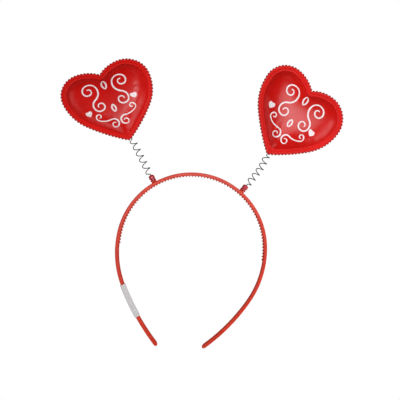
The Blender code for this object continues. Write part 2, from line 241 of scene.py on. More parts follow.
def lathe(shape, profile, foot, axis):
    """Adds a profile of (radius, height) rows, turned round an axis that stands on a foot."""
    frame_of = axis.to_track_quat("Z", "Y").to_matrix()
    rings = []
    for radius, height in profile:
        ring = []
        for i in range(LATHE_SIDES):
            angle = 2 * pi * i / LATHE_SIDES
            ring.append(foot + frame_of @ Vector((radius * cos(angle), radius * sin(angle), height)))
        rings.append(ring)
    loft(shape, rings)


def rounding(centre, radius, start, end, steps=4):
    """Points of an arc in a flat profile, between two angles in degrees."""
    points = []
    for i in range(steps + 1):
        angle = radians(start + (end - start) * i / steps)
        points.append((centre[0] + radius * cos(angle), centre[1] + radius * sin(angle)))
    return points


# %% [markdown]
# ## Helpers for Geometry Nodes
# A tree of nodes that is built in a script reads best when each node is one short line. `node` adds one and
# fills its inputs by name, `calc` and `vector` add arithmetic, and `apply_tree` sets a modifier's inputs by
# the sockets' identifiers and turns the result into a plain mesh.

# %% Short words for building node trees
KINDS = {"number": "NodeSocketFloat", "count": "NodeSocketInt", "object": "NodeSocketObject"}


def new_tree(name, **inputs):
    """A tree that takes and gives geometry, with more inputs by name and kind."""
    tree = bpy.data.node_groups.new(name, "GeometryNodeTree")
    tree.interface.new_socket("Geometry", in_out="INPUT", socket_type="NodeSocketGeometry")
    for label, kind in inputs.items():
        tree.interface.new_socket(label, in_out="INPUT", socket_type=KINDS[kind])
    tree.interface.new_socket("Geometry", in_out="OUTPUT", socket_type="NodeSocketGeometry")
    return tree, tree.nodes.new("NodeGroupInput").outputs


def feed(tree, socket, value):
    """Links another node's output to a socket, or sets the socket's own value."""
    if isinstance(value, bpy.types.NodeSocket):
        tree.links.new(value, socket)
    else:
        socket.default_value = value


def node(tree, kind, settings=None, **inputs):
    made = tree.nodes.new(kind)
    for key, value in (settings or {}).items():
        setattr(made, key, value)
    for label, value in inputs.items():
        feed(tree, made.inputs[label.replace("_", " ")], value)
    return made.outputs


def calc(tree, operation, *values):
    made = tree.nodes.new("ShaderNodeMath")
    made.operation = operation
    for socket, value in zip(made.inputs, values):
        feed(tree, socket, value)
    return made.outputs[0]


def vector(tree, operation, *values):
    made = tree.nodes.new("ShaderNodeVectorMath")
    made.operation = operation
    for socket, value in zip(made.inputs, values):
        feed(tree, socket, value)
    return made.outputs[0]


def scaled(tree, direction, amount):
    """A vector times a number."""
    made = tree.nodes.new("ShaderNodeVectorMath")
    made.operation = "SCALE"
    feed(tree, made.inputs[0], direction)
    feed(tree, made.inputs["Scale"], amount)
    return made.outputs[0]


def end_tree(tree, geometry, material):
    """Makes the instances real, gives them their material and closes the tree."""
    real = node(tree, "GeometryNodeRealizeInstances", Geometry=geometry)["Geometry"]
    done = node(tree, "GeometryNodeSetMaterial", Geometry=real, Material=material)["Geometry"]
    feed(tree, tree.nodes.new("NodeGroupOutput").inputs[0], done)
    return tree


def line_mesh(name, lines):
    """Open polylines as a mesh of edges, which a tree reads as paths."""
    mesh = bpy.data.meshes.new(name)
    points = [tuple(point) for line in lines for point in line]
    edges = []
    start = 0
    for line in lines:
        edges += [(start + i, start + i + 1) for i in range(len(line) - 1)]
        start += len(line)
    mesh.from_pydata(points, edges, [])
    return mesh


def apply_tree(tree, name, mesh, material, **values):
    """Runs a tree on a mesh with named values, and gives the result as an object with a plain mesh."""
    worker = bpy.data.objects.new(name + "_path", mesh)
    bpy.context.scene.collection.objects.link(worker)
    modifier = worker.modifiers.new(tree.name, "NODES")
    modifier.node_group = tree
    for item in tree.interface.items_tree:
        if item.in_out == "INPUT" and item.name in values:
            modifier[item.identifier] = values[item.name]
    seen = worker.evaluated_get(bpy.context.evaluated_depsgraph_get())
    made = bpy.data.meshes.new_from_object(seen)
    made.name = name
    bpy.data.objects.remove(worker)
    return new_object(name, made, material)


# %% [markdown]
# ## Red moulded plastic
# The band is injection moulded in an opaque orange-red plastic. Such a surface is even in colour and softly
# glossy. What tells the eye that it is real is a faint unevenness: the gloss varies a little where hands
# and the mould have polished it, and the flow of the plastic leaves ripples far too low to see except in a
# highlight.

# %% Plastic for the band and for the plugs
def new_material(name, colour, roughness, **sockets):
    """A Principled material; numbers that are the same all over are set on the shader's own sockets."""
    made = bpy.data.materials.new(name)
    made.use_nodes = True
    shader = made.node_tree.nodes["Principled BSDF"]
    shader.inputs["Base Color"].default_value = (*colour, 1.0)
    shader.inputs["Roughness"].default_value = roughness
    for label, value in sockets.items():
        shader.inputs[label.replace("_", " ")].default_value = value
    return made, made.node_tree, shader


def noise(tree, scale, detail=2.0, stretch=(1.0, 1.0, 1.0)):
    """Noise on Object coordinates, in features per metre."""
    place = node(tree, "ShaderNodeTexCoord")["Object"]
    turned = node(tree, "ShaderNodeMapping", Vector=place, Scale=stretch)["Vector"]
    return node(tree, "ShaderNodeTexNoise", Vector=turned, Scale=scale, Detail=detail)["Fac"]


def spread(tree, value, low, high):
    """Maps noise, which stays near the middle of 0 to 1, onto a range."""
    made = node(tree, "ShaderNodeMapRange", Value=value, From_Min=0.3, From_Max=0.7, To_Min=low, To_Max=high)
    return made["Result"]


def mixed_colour(tree, amount, one, other):
    """Two colours mixed by an amount, each given as three numbers or as another node's output."""
    mixed = tree.nodes.new("ShaderNodeMix")
    mixed.data_type = "RGBA"
    feed(tree, mixed.inputs["Factor"], amount)
    sockets = [socket for socket in mixed.inputs if socket.type == "RGBA"]
    for socket, colour in zip(sockets, (one, other)):
        feed(tree, socket, (*colour, 1.0) if isinstance(colour, tuple) else colour)
    return next(socket for socket in mixed.outputs if socket.type == "RGBA")


def mottle(tree, shader, scale, dark, light, detail=2.0):
    """A base colour that drifts between two shades with some noise."""
    drift = spread(tree, noise(tree, scale, detail), 0.0, 1.0)
    feed(tree, shader.inputs["Base Color"], mixed_colour(tree, drift, dark, light))


def bump(tree, shader, height, distance, strength=1.0):
    normal = node(tree, "ShaderNodeBump", Height=height, Distance=distance, Strength=strength)["Normal"]
    feed(tree, shader.inputs["Normal"], normal)


def band_plastic():
    made, tree, shader = new_material("band_plastic", (0.66, 0.040, 0.016), 0.36, Specular_IOR_Level=0.28)
    mottle(tree, shader, 60.0, (0.62, 0.035, 0.014), (0.70, 0.045, 0.018))
    feed(tree, shader.inputs["Roughness"], spread(tree, noise(tree, 180.0), 0.30, 0.40))
    bump(tree, shader, noise(tree, 500.0), 0.02 * MM)
    return made


def plug_plastic():
    made, tree, shader = new_material("plug_plastic", (0.46, 0.030, 0.045), 0.24)
    mottle(tree, shader, 300.0, (0.42, 0.025, 0.040), (0.52, 0.036, 0.052))
    feed(tree, shader.inputs["Roughness"], spread(tree, noise(tree, 500.0), 0.18, 0.30))
    bump(tree, shader, noise(tree, 900.0), 0.015 * MM)
    return made


BAND_PLASTIC = band_plastic()
PLUG_PLASTIC = plug_plastic()
print("materials:", BAND_PLASTIC.name, PLUG_PLASTIC.name)

# %% [markdown]
# ## The band
# The band is a flat strip, 8 mm wide and 2.6 mm thick, that was moulded in its horseshoe shape and narrows
# a little down the legs. A curve with a bevel would keep one section all the way. Here rings of a rounded
# section are placed along the arcs instead, because the width changes and the tips have to close in a soft
# round.

# %% Sections of the band
OUTER_ROUND = 0.6 * MM  # radius of its two outer edges
INNER_ROUND = 0.35 * MM
TIP_ROUND = 3.0 * MM
SECTION_STEP = 1.2 * MM
TIP_SECTIONS = 8


def band_half_width(side, station):
    crown, flank, _ = band_turns(side)
    start = crown.radius * crown.sweep
    share = min(max((station - start) / (flank.radius * flank.sweep), 0.0), 1.0)
    return (BAND_WIDTH + (LEG_WIDTH - BAND_WIDTH) * share) / 2


def band_ring(side, station, size=1.0):
    """One rounded section: the first number of each pair is the inset, the second the height."""
    half = band_half_width(side, station)
    outline = rounding((OUTER_ROUND, half - OUTER_ROUND), OUTER_ROUND, 180, 90)
    outline += rounding((BAND_THICKNESS - INNER_ROUND, half - INNER_ROUND), INNER_ROUND, 90, 0)
    outline += rounding((BAND_THICKNESS - INNER_ROUND, INNER_ROUND - half), INNER_ROUND, 0, -90)
    outline += rounding((OUTER_ROUND, OUTER_ROUND - half), OUTER_ROUND, -90, -180)
    ring = []
    for inset, height in outline:
        inset = BAND_THICKNESS / 2 + (inset - BAND_THICKNESS / 2) * size
        point, _ = band_place(side, station, inset)
        ring.append(CROWN_CENTRE + Vector((point.x, point.y, MIDDLE + height * size)))
    return ring


def half_band(side):
    end = band_length(side) - TIP_ROUND
    count = round(end / SECTION_STEP)
    rings = [band_ring(side, end * i / count) for i in range(count + 1)]
    for i in range(1, TIP_SECTIONS + 1):
        turned = radians(86.0 * i / TIP_SECTIONS)
        rings.append(band_ring(side, end + TIP_ROUND * sin(turned), cos(turned)))
    return rings


print("half bands:", [len(half_band(side)) for side in SIDES], "sections")

# %% [markdown]
# ## The bosses on the crown
# Each spring starts at a small round boss that was moulded with the band. A fillet runs round its foot, as
# on most moulded bosses, since a sharp inside corner would crack. Its post is hidden in the plug. Both are
# turned on a lathe and joined to the band's mesh, because in the real band they are one piece of plastic.

# %% Where the spring seats are, and the moulding
BOSS_RADIUS = 2.3 * MM
BOSS_HEIGHT = 1.2 * MM
BOSS_FILLET = 0.5 * MM
POST_RADIUS = 1.1 * MM
POST_HEIGHT = 2.0 * MM


def seat(side):
    """Where a boss stands on the crown's outer face, and its axis."""
    point, out = band_place(side, CROWN_RADIUS * radians(CARRIES[side].seat_angle))
    return CROWN_CENTRE + Vector((point.x, point.y, MIDDLE)), Vector((out.x, out.y, 0.0))


def boss_profile():
    foot = rounding((BOSS_RADIUS + BOSS_FILLET, BOSS_FILLET), BOSS_FILLET, 270, 180)
    edge = rounding((BOSS_RADIUS - 0.2 * MM, BOSS_HEIGHT - 0.2 * MM), 0.2 * MM, 0, 90, 2)
    top = BOSS_HEIGHT + POST_HEIGHT
    return [(BOSS_RADIUS + BOSS_FILLET, -BAND_THICKNESS / 2), *foot, *edge, (POST_RADIUS, BOSS_HEIGHT),
            (POST_RADIUS, top - 0.2 * MM), (POST_RADIUS - 0.2 * MM, top)]


left_half, right_half = (half_band(side) for side in SIDES)
moulding = bmesh.new()
loft(moulding, left_half[:0:-1] + right_half)
for side in SIDES:
    lathe(moulding, boss_profile(), *seat(side))
headband_moulding = new_object("headband_moulding", mesh_of(moulding, "headband_moulding"), BAND_PLASTIC)
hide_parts("headband")
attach(headband_moulding, "headband")

# %% [markdown]
# ## The teeth
# Small ribs across the inside of the band hold it in the hair. There are 76 alike, evenly spaced along the
# inner face, which is work for Geometry Nodes: the tree spreads points along a path, turns a copy of one
# rib to the path at each, and makes the copies real. One rib is a wedge with a rounded crest and ends that
# slope in.

# %% One tooth
TOOTH_PITCH = 2.85 * MM  # along the outer face
TOOTH_SPAN = 109.0 * MM  # along the outer face, on each side
TOOTH_HEIGHT = 1.1 * MM
TOOTH_FOOT = 2.0 * MM  # its width where it leaves the band
TOOTH_LENGTH = 7.4 * MM  # across the band
TOOTH_CREST = 0.25 * MM  # radius
TOOTH_SLOPE = 0.7 * MM  # length of each end that slopes in
TOOTH_END = 0.45  # height at the very end, as a share
TOOTH_SINK = 0.3 * MM  # how far it goes into the band


def tooth_section(size, height):
    """A wedge that points along -Y, with a rounded crest, at one height."""
    crest = rounding((0.0, TOOTH_CREST - TOOTH_HEIGHT * size), TOOTH_CREST, 200, 340, 4)
    outline = [(TOOTH_FOOT / 2, TOOTH_SINK), (-TOOTH_FOOT / 2, TOOTH_SINK), (-TOOTH_FOOT / 2, 0.0), *crest,
               (TOOTH_FOOT / 2, 0.0)]
    return [(x, y, height) for x, y in outline]


def tooth():
    half = TOOTH_LENGTH / 2
    shape = bmesh.new()
    loft(shape, [tooth_section(TOOTH_END, -half), tooth_section(1.0, TOOTH_SLOPE - half),
                 tooth_section(1.0, half - TOOTH_SLOPE), tooth_section(TOOTH_END, half)])
    return new_object("tooth", mesh_of(shape, "tooth", 50.0), BAND_PLASTIC)


# %% A tree that sets teeth along a path
def teeth_tree():
    tree, given = new_tree("teeth_along_the_band", Count="count", Tooth="object")
    path = node(tree, "GeometryNodeMeshToCurve", Mesh=given["Geometry"])["Curve"]
    spaced = node(tree, "GeometryNodeCurveToPoints", {"mode": "COUNT"}, Curve=path, Count=given["Count"])
    turned = node(tree, "FunctionNodeAlignRotationToVector", {"axis": "X", "pivot_axis": "Z"},
                  Vector=spaced["Tangent"])["Rotation"]
    rib = node(tree, "GeometryNodeObjectInfo", {"transform_space": "ORIGINAL"}, Object=given["Tooth"])
    set_in = node(tree, "GeometryNodeInstanceOnPoints", Points=spaced["Points"], Instance=rib["Geometry"],
                  Rotation=turned)["Instances"]
    return end_tree(tree, set_in, BAND_PLASTIC)


def inner_path():
    """The line that the teeth stand on, from the last tooth on the left leg to the last on the right."""
    count = int(TOOTH_SPAN / TOOTH_PITCH)
    stations = [(i + 0.5) * TOOTH_PITCH for i in range(count)]
    halves = []
    for side in SIDES:
        points = [band_place(side, station, BAND_THICKNESS)[0] for station in stations]
        halves.append([CROWN_CENTRE + Vector((point.x, point.y, MIDDLE)) for point in points])
    return halves[0][::-1] + halves[1]


path = inner_path()
one_tooth = tooth()
headband_teeth = apply_tree(teeth_tree(), "headband_teeth", line_mesh("teeth_path", [path]), BAND_PLASTIC,
                            Count=len(path), Tooth=one_tooth)
bpy.data.objects.remove(one_tooth)
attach(headband_teeth, "headband")
print("teeth:", len(path))

# %% [markdown]
# ## The spring plugs
# A crimson plug is pushed over each post and grips the foot of the spring. It was turned or moulded round:
# a flange, a narrow waist, a barrel and a domed top. A lathe profile gives all of them, with small
# roundings that catch the light as the real edges do.

# %% Turned plugs
PLUG_RADIUS = 2.6 * MM
PLUG_HEIGHT = 5.6 * MM
FLANGE_HEIGHT = 1.1 * MM
WAIST_HEIGHT = 0.8 * MM
WAIST_DEPTH = 0.5 * MM
DOME_HEIGHT = 1.8 * MM
PLUG_EDGE = 0.25 * MM
WIRE_RADIUS = 0.38 * MM
TAIL_DEPTH = 2.4 * MM  # of the hole that the wire stands in


def plug_profile():
    rim = PLUG_RADIUS - PLUG_EDGE
    waist = PLUG_RADIUS - WAIST_DEPTH
    barrel = FLANGE_HEIGHT + WAIST_HEIGHT
    shoulder = PLUG_HEIGHT - DOME_HEIGHT
    bore = POST_RADIUS + GAP
    hole = WIRE_RADIUS + GAP
    inside = [(0.02 * MM, POST_HEIGHT + GAP), (bore, POST_HEIGHT + GAP), (bore, 0.0), (rim, 0.0)]
    flange = rounding((rim, PLUG_EDGE), PLUG_EDGE, -90, 0, 3)
    flange += rounding((rim, FLANGE_HEIGHT - PLUG_EDGE), PLUG_EDGE, 0, 90, 3)
    neck = [(waist, FLANGE_HEIGHT), (waist, barrel)]
    body = rounding((rim, barrel + PLUG_EDGE), PLUG_EDGE, -90, 0, 3)
    dome = []
    for i in range(9):
        turned = radians(90.0 - 10.0 * i)
        dome.append((hole + (PLUG_RADIUS - hole) * sin(turned), shoulder + DOME_HEIGHT * cos(turned)))
    well = [(hole, PLUG_HEIGHT), (hole, PLUG_HEIGHT - TAIL_DEPTH), (0.02 * MM, PLUG_HEIGHT - TAIL_DEPTH)]
    return inside + flange + neck + body + dome + well


def plug_foot(side):
    foot, out = seat(side)
    return foot + out * (BOSS_HEIGHT + GAP)


for side in SIDES:
    shape = bmesh.new()
    lathe(shape, plug_profile(), plug_foot(side), seat(side)[1])
    plug = new_object(f"{side}_plug", mesh_of(shape, f"{side}_plug", 35.0), PLUG_PLASTIC)
    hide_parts(f"{side}_spring_plug")
    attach(plug, "headband")

# %% [markdown]
# ## Spring steel
# The springs are wound from drawn steel wire with a dull grey skin. Drawing leaves the metal smooth but not
# polished, so it is metallic with a middling roughness, and slightly darker in places.

# %% Dull drawn wire
def spring_steel():
    made, tree, shader = new_material("spring_steel", (0.10, 0.115, 0.11), 0.45, Metallic=1.0)
    mottle(tree, shader, 400.0, (0.07, 0.085, 0.08), (0.13, 0.145, 0.14))
    feed(tree, shader.inputs["Roughness"], spread(tree, noise(tree, 900.0), 0.30, 0.46))
    return made


SPRING_STEEL = spring_steel()
print("material:", SPRING_STEEL.name)

# %% [markdown]
# ## The coil springs
# An open coil of six turns runs from each plug to the tip of its heart. The middle line is a smooth curve
# that leaves along the plug and arrives at the heart. The tree winds the wire round it: it pushes each
# point of the line out by the coil's radius, at an angle that grows along the line, and then gives the line
# a round section. The turns lean a little towards the heart, as in a spring that lies on its side with a
# weight at one end. Each spring is made as two halves that meet in the middle, because the lower half bends
# with the sway of the heart and the upper half with its nod.

# %% The springs' middle lines
COIL_RADIUS = 2.75 * MM
COIL_TURNS = 6.0
COIL_SLANT = 0.16
SPREAD_TURNS = 0.5
SPRING_REACH = 35.0 * MM
HEART_BACK = 4.0 * MM  # height of the middle of the hearts' rims over the glass


def lean_way(lean):
    return Vector((sin(radians(lean)), cos(radians(lean)), 0.0))


def plug_top(side):
    return plug_foot(side) + seat(side)[1] * PLUG_HEIGHT


def spring_head(side):
    """Where a spring meets its heart."""
    start = plug_top(side)
    way = lean_way(CARRIES[side].spring_lean)
    rise = HEART_BACK - start.z
    level = sqrt((SPRING_REACH * CARRIES[side].stretch) ** 2 - rise ** 2)
    return Vector((start.x + way.x * level, start.y + way.y * level, HEART_BACK))


def spring_axis(side, share):
    """A point of the spring's middle line, at a share of the way from plug to heart."""
    reach = SPRING_REACH * CARRIES[side].stretch
    start, end = plug_top(side), spring_head(side)
    leave = seat(side)[1] * reach
    arrive = lean_way(CARRIES[side].end_lean) * reach
    t = share
    return (start * (2 * t**3 - 3 * t**2 + 1) + leave * (t**3 - 2 * t**2 + t)
            + end * (3 * t**2 - 2 * t**3) + arrive * (t**3 - t**2))


def wire_line(side):
    """The middle line with its straight ends in the plug and in the heart."""
    inside = TAIL_DEPTH - GAP
    line = [spring_axis(side, i / 60) for i in range(61)]
    return [line[0] - seat(side)[1] * inside, *line, line[-1] + lean_way(CARRIES[side].end_lean) * inside]


# %% A tree that winds wire round a line
def coil_tree():
    tree, given = new_tree("wire_wound_round_a_line", Turns="number", Radius="number", Wire="number",
                           Slant="number", Spread="number", Tail="number", Angle="number", Start="number",
                           End="number")
    line = node(tree, "GeometryNodeMeshToCurve", Mesh=given["Geometry"])["Curve"]
    fine = node(tree, "GeometryNodeResampleCurve", Curve=line, Count=260)["Curve"]
    along = node(tree, "GeometryNodeSplineParameter")["Length"]
    whole = node(tree, "GeometryNodeSplineLength")["Length"]
    coiled = calc(tree, "SUBTRACT", whole, calc(tree, "MULTIPLY", given["Tail"], 2.0))
    share = calc(tree, "DIVIDE", calc(tree, "SUBTRACT", along, given["Tail"]), coiled)
    share = node(tree, "ShaderNodeClamp", Value=share)["Result"]
    near_end = calc(tree, "MINIMUM", share, calc(tree, "SUBTRACT", 1.0, share))
    opening = calc(tree, "DIVIDE", calc(tree, "MULTIPLY", near_end, given["Turns"]), given["Spread"])
    opening = node(tree, "ShaderNodeMapRange", {"interpolation_type": "SMOOTHSTEP"}, Value=opening)["Result"]
    radius = calc(tree, "MULTIPLY", given["Radius"], opening)
    angle = calc(tree, "MULTIPLY", share, calc(tree, "MULTIPLY", given["Turns"], 2 * pi))
    angle = calc(tree, "ADD", angle, given["Angle"])
    sideways = calc(tree, "MULTIPLY", radius, calc(tree, "COSINE", angle))
    height = calc(tree, "MULTIPLY", calc(tree, "MULTIPLY", radius, -1.0), calc(tree, "SINE", angle))
    tangent = node(tree, "GeometryNodeInputTangent")["Tangent"]
    across = vector(tree, "NORMALIZE", vector(tree, "CROSS_PRODUCT", tangent, (0.0, 0.0, 1.0)))
    up = vector(tree, "CROSS_PRODUCT", across, tangent)
    offset = vector(tree, "ADD", scaled(tree, across, sideways), scaled(tree, up, height))
    slanted = scaled(tree, tangent, calc(tree, "MULTIPLY", height, given["Slant"]))
    offset = vector(tree, "ADD", offset, slanted)
    wound = node(tree, "GeometryNodeSetPosition", Geometry=fine, Offset=offset)["Geometry"]
    part = node(tree, "GeometryNodeTrimCurve", Curve=wound, Start=given["Start"], End=given["End"])["Curve"]
    section = node(tree, "GeometryNodeCurvePrimitiveCircle", Resolution=10, Radius=given["Wire"])["Curve"]
    wire = node(tree, "GeometryNodeCurveToMesh", Curve=part, Profile_Curve=section, Fill_Caps=True)["Mesh"]
    return end_tree(tree, wire, SPRING_STEEL)


HALVES = {"lower": (0.0, 0.5), "upper": (0.5, 1.0)}
winding = coil_tree()
for side in SIDES:
    for half, (start, end) in HALVES.items():
        spring = apply_tree(winding, f"{side}_spring_{half}", line_mesh("middle_line", [wire_line(side)]),
                            SPRING_STEEL, Turns=COIL_TURNS, Radius=COIL_RADIUS, Wire=WIRE_RADIUS,
                            Slant=COIL_SLANT, Spread=SPREAD_TURNS, Tail=TAIL_DEPTH - GAP,
                            Angle=radians(CARRIES[side].wound_from), Start=start, End=end)
        spring.data.shade_smooth()
        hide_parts(f"{side}_spring")
        spring_axis(side, start)
        spring_axis(side, end)
        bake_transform(spring)

# %% [markdown]
# ## Red vinyl
# The hearts are two skins of soft red vinyl over foam. Vinyl is a deep, clean red with a soft gloss. A fine
# grain breaks up its reflections, and the colour is a little deeper where the skin is stretched over the
# shoulder. The finish below puts the grain and the drift of colour on Object coordinates, so it needs no
# unwrapping.

# %% Vinyl, and the white printing ink
def heart_vinyl(name, dark, light, gloss, dull=0.0):
    """Vinyl that drifts between two shades of red, with a grain; dull is added to its roughness."""
    made, tree, shader = new_material(name, (0.60, 0.005, 0.003), 0.30, Specular_IOR_Level=gloss)
    mottle(tree, shader, 45.0, dark, light)
    feed(tree, shader.inputs["Roughness"], spread(tree, noise(tree, 1400.0), 0.25 + dull, 0.36 + dull))
    bump(tree, shader, noise(tree, 1500.0, 3.0), 0.05 * MM)
    return made


def paint_edge_shade(material, colour):
    """Paints shade on the rim's outer edge: mixes a dark colour into the base colour by the amount in a point
    attribute.
    """
    tree = material.node_tree
    base = tree.nodes["Principled BSDF"].inputs["Base Color"]
    amount = node(tree, "ShaderNodeAttribute", {"attribute_name": "edge_shade"})["Fac"]
    feed(tree, base, mixed_colour(tree, amount, base.links[0].from_socket, colour))


def print_ink():
    made, tree, shader = new_material("print_ink", (0.92, 0.78, 0.80), 0.45)
    mottle(tree, shader, 700.0, (0.86, 0.68, 0.71), (0.95, 0.86, 0.87))
    bump(tree, shader, noise(tree, 1800.0, 3.0), 0.02 * MM)
    return made


HEART_VINYL = heart_vinyl("heart_vinyl", (0.54, 0.004, 0.002), (0.64, 0.006, 0.004), gloss=0.31)
# The rim is a lighter, duller copy of the heart vinyl. Its lighter red is painted light, so the flat rim
# shows brighter than the puff.
RIM_VINYL_WITH_PAINTED_LIGHT = heart_vinyl("rim_vinyl_with_painted_light", (0.64, 0.005, 0.003), (0.74, 0.007, 0.004), gloss=0.14, dull=0.17)
# Painted shade: a dark red on the rim's outer edge, where the scallops' tips lie in shade.
paint_edge_shade(RIM_VINYL_WITH_PAINTED_LIGHT, (0.26, 0.006, 0.004))
PRINT_INK = print_ink()
print("materials:", HEART_VINYL.name, RIM_VINYL_WITH_PAINTED_LIGHT.name, PRINT_INK.name)

# %% [markdown]
# ## The outline of a heart
# A heart's half outline is four arcs: out of the notch, round the lobe, down the side and on to the tip.
# The arcs' radii are shares of the width, so the heart keeps its form at any size. The real ones are not
# perfectly true: both lean over a little, and one is pulled shorter. Two factors give that.

# %% Heart outlines, with the tip at the origin and the notch on +Y
HEART_WIDTH = 80.8 * MM
HEART_SKEW = -0.073
NOTCH_ANGLE = 39.2
TOP_SHARE = 0.385
SIDE_SHARE = 0.534
LOWER_SHARE = 2.0
SIDE_SWEEP = 42.3
TIP_RADIUS = 3.2 * MM
RIM_WIDTH = 4.2 * MM
ARC_STEPS = (1, 24, 36, 24, 30)
TIP_STEPS = 8


def heart_turns():
    notch = radians(NOTCH_ANGLE)
    lobe = HEART_WIDTH / 2 - TOP_SHARE * HEART_WIDTH * sin(notch)
    arcs = ((TOP_SHARE * HEART_WIDTH, notch), (lobe, pi / 2), (SIDE_SHARE * HEART_WIDTH, radians(SIDE_SWEEP)),
            (LOWER_SHARE * HEART_WIDTH, 0.0))
    swung = Turn(Vector((0.0, 0.0)), 0.0, 0.0, -notch)
    return [swung, *turns((0.0, 0.0), notch, arcs)]


def half_heart(inset):
    """Points of the right half from notch to tip, set in from the edge."""
    parts = heart_turns()
    lower = parts[-1]
    rounded = max(inset, TIP_RADIUS)
    end = -pi - asin(lower.centre.x / (lower.radius - rounded))
    points = []
    for turn, count in zip(parts, ARC_STEPS):
        sweep = turn.heading - end if turn is lower else turn.sweep
        for i in range(count):
            points.append(on_turn(turn, turn.heading - sweep * i / count, inset))
    tip = Turn(on_turn(lower, end, rounded), rounded, end, end + pi)
    for i in range(TIP_STEPS):
        points.append(on_turn(tip, end - tip.sweep * i / TIP_STEPS, inset))
    points.append(on_turn(tip, -pi, inset))
    return points


def whole_heart(side, inset):
    """The closed outline, set in from the edge, leaned and shortened as that side's heart is."""
    half = half_heart(inset)
    foot = half_heart(0.0)[-1].y
    mirrored = [Vector((-point.x, point.y)) for point in half[-2:0:-1]]
    loop = []
    for point in half + mirrored:
        height = point.y - foot
        loop.append(Vector((point.x + HEART_SKEW * height, height * CARRIES[side].tall)))
    return loop


def heart_place(side):
    """The matrix that takes a heart from its own drawing to its place on the spring."""
    carry = CARRIES[side]
    up = lean_way(carry.heart_lean)
    right = Vector((up.y, -up.x, 0.0))
    rise = TIP_RADIUS - sqrt(TIP_RADIUS ** 2 - carry.aside ** 2)
    tip = spring_head(side) - right * carry.aside - up * rise
    return Matrix.Translation(tip) @ Matrix.Rotation(-radians(carry.heart_lean), 4, "Z")


for side in SIDES:
    print(side, "heart tip:", [round(value / MM, 1) for value in heart_place(side).translation], "mm")

# %% [markdown]
# ## The welded rim
# The two vinyl skins are welded flat to each other all round the foam, and the edge is then cut with
# pinking shears or a scalloped die. Beside the padding the weld leaves a low bead of squeezed-out vinyl.
# Rings of points at growing insets make it: the outer ones carry the scallops, each thick in its middle,
# and the inner ones the bead.

# %% Rim sections and scallops
SCALLOP_PITCH = 3.0 * MM
SCALLOP_DEPTH = 1.0 * MM
SCALLOP_STEPS = 10
SCALLOP_FADE = 2.4 * MM  # how far in from the edge the scallops are felt
SCALLOP_RELIEF = 0.75  # how much thinner the rim is between two scallops
EDGE_SHADE_FADE = 1.0 * MM  # how far in from the edge the painted shade reaches

# From the edge inwards: how far in, and the height over the rim's middle plane
RimRow = namedtuple("RimRow", "inset height")
RIM_ROWS = (RimRow(0.0, 0.0), RimRow(0.12 * MM, 0.30 * MM), RimRow(0.5 * MM, 0.55 * MM),
            RimRow(1.1 * MM, 0.62 * MM), RimRow(1.8 * MM, 0.50 * MM), RimRow(2.9 * MM, 0.50 * MM),
            RimRow(3.25 * MM, 0.72 * MM), RimRow(3.55 * MM, 0.85 * MM), RimRow(3.85 * MM, 0.76 * MM),
            RimRow(4.2 * MM, 0.62 * MM), RimRow(5.4 * MM, 0.62 * MM))


def rim_ring(side, inset, height, bumps):
    """One closed ring of the rim; it keeps to its own side of the heart's middle line near the tip."""
    outline = evenly(whole_heart(side, 0.0), bumps * SCALLOP_STEPS)
    felt = max(0.0, 1.0 - inset / SCALLOP_FADE)
    ring = []
    for i, point in enumerate(outline):
        along = outline[(i + 1) % len(outline)] - outline[i - 1]
        out = Vector((-along.y, along.x)).normalized()
        wave = abs(sin(pi * i / SCALLOP_STEPS)) - 0.5
        thin = 1.0 - SCALLOP_RELIEF * felt * (0.5 - wave)
        moved = point + out * (wave * SCALLOP_DEPTH * felt - inset)
        middle = HEART_SKEW * point.y / CARRIES[side].tall
        if (moved.x - middle) * (point.x - middle) < 0:
            moved.x = middle
        ring.append(heart_place(side) @ Vector((moved.x, moved.y, height * thin)))
    return ring


def edge_distances(side, mesh):
    """How far each point of the rim is from the heart's outline, seen from above."""
    place = heart_place(side)
    loop = whole_heart(side, 0.0)
    outline = evenly(loop, len(loop) * 8)
    tree = KDTree(len(outline))
    for number, point in enumerate(outline):
        tree.insert(place @ Vector((point.x, point.y, 0.0)), number)
    tree.balance()
    return [tree.find((vert.co.x, vert.co.y, place.translation.z))[2] for vert in mesh.vertices]


def make_rim(side):
    loop = whole_heart(side, 0.0)
    bumps = round(length_round(loop) / SCALLOP_PITCH)
    rows = [RimRow(row.inset, -row.height) for row in RIM_ROWS[:0:-1]] + list(RIM_ROWS)
    shape = bmesh.new()
    loft(shape, [rim_ring(side, row.inset, row.height, bumps) for row in rows], capped=False, closed=True)
    mesh = mesh_of(shape, f"{side}_heart_rim", 70.0)
    # Painted shade on the outer edge: strongest at the edge, gone a little way in.
    edge_shade = mesh.attributes.new("edge_shade", "FLOAT", "POINT")
    shown = [1.0 - min(1.0, distance / EDGE_SHADE_FADE) for distance in edge_distances(side, mesh)]
    edge_shade.data.foreach_set("value", shown)
    rim = new_object(f"{side}_heart_rim", mesh, RIM_VINYL_WITH_PAINTED_LIGHT)
    print(side, "rim:", bumps, "scallops")
    return rim


for side in SIDES:
    rim = make_rim(side)
    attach(rim, f"{side}_heart")

# %% [markdown]
# ## The padded middle
# Inside the weld, a front and a back skin are stretched over a foam pad: steep at the edge, with a soft
# shoulder, and a gentle crown. The crown is the form that an even pressure gives a thin skin, found by
# letting each point stand a little over the mean of its neighbours. The skins are meshed with even
# triangles, because the cloth solver in the next step treats those alike in all directions.

# %% A skin of even triangles
HEART_FRONT = 7.7 * MM  # before the solver blows it up
SKIN_STEP = 1.3 * MM  # size of its triangles
SHOULDER = 10.5 * MM  # width of the steep side
SHOULDER_POWER = 2.3
CROWN_SHARE = 0.24  # of the whole height
CROWN_ROUNDS = 2500
SOFTEN_ROUNDS = 12  # on the steep side, so that it has no crease at the tip


